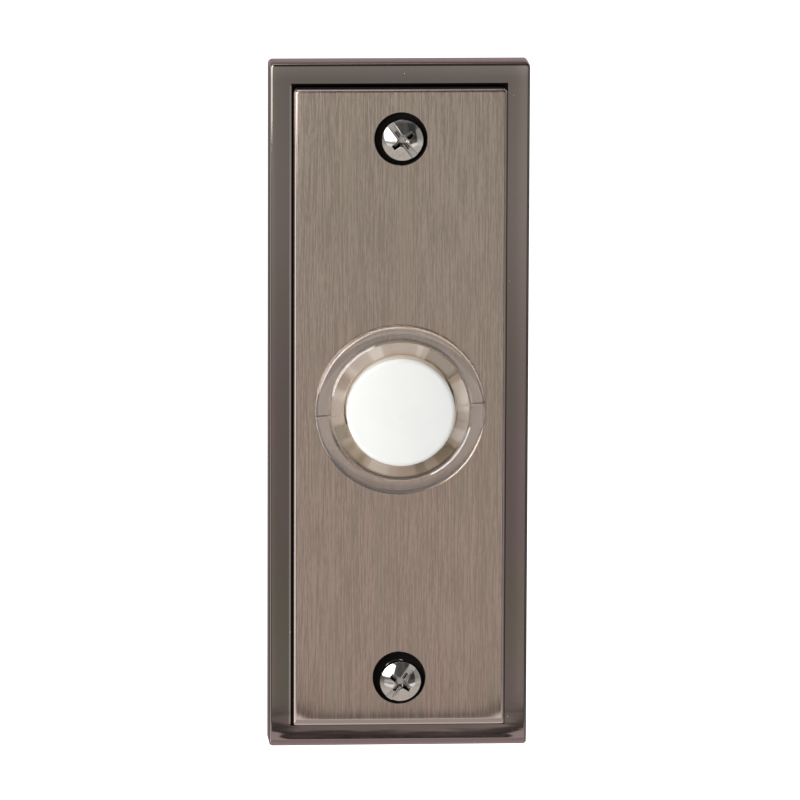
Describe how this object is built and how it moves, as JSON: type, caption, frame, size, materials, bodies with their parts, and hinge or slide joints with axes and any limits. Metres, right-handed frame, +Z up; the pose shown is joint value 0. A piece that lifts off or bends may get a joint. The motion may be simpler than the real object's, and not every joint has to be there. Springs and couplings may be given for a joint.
{
  "type": "doorbell push button",
  "caption": "Wired lighted doorbell push: a brushed plate on a polished rectangular frame, a sprung white button in a clear ring, and screws above and below.",
  "frame": {"origin": "centre of the frame's back face, on the wall, behind the middle of the button", "axes": "+Z up the door frame, +X to the right as seen from the front, +Y into the wall"},
  "size_m": [0.0382, 0.0308, 0.1016],
  "materials": {
    "polished_frame": "polished dark nickel plate on a zinc casting",
    "brushed_plate": "warm nickel plate with a grain brushed up and down",
    "clear_plastic": "clear moulded plastic",
    "white_plastic": "white moulded plastic with a soft gloss",
    "bright_nickel": "bright nickel plate on steel",
    "base_plastic": "ivory moulded plastic",
    "brass": "plain stamped and turned brass",
    "spring_steel": "plain spring steel",
    "lamp_resin": "clear tinted resin",
    "tinned_wire": "tinned copper wire",
    "resistor_coat": "dipped coating"
  },
  "bodies": {
    "housing": {"base_frame": "polished_frame", "face_plate": "brushed_plate", "clear_bezel": "clear_plastic", "bezel_push_ring": "spring_steel", "return_spring": "spring_steel", "switch_base": "base_plastic", "upper_terminal_strip": "brass", "lower_terminal_strip": "brass", "terminal_screws": "brass", "terminal_washers": "brass", "base_screws": "bright_nickel", "mounting_screws": "bright_nickel", "led_lamp": "lamp_resin", "led_leads": "tinned_wire", "lamp_resistor": "resistor_coat", "resistor_lead": "tinned_wire"},
    "plunger": {"button_cap": "white_plastic", "moving_contact": "brass", "contact_clip": "spring_steel"}
  },
  "joints": [
    {"name": "button_press", "type": "slide", "parent": "housing", "child": "plunger", "axis": [0, 1, 0], "range_m": [0, 0.0015], "stiffness_N_per_m": 280, "springref_m": -0.004, "deforming": ["return_spring"]}
  ]
}
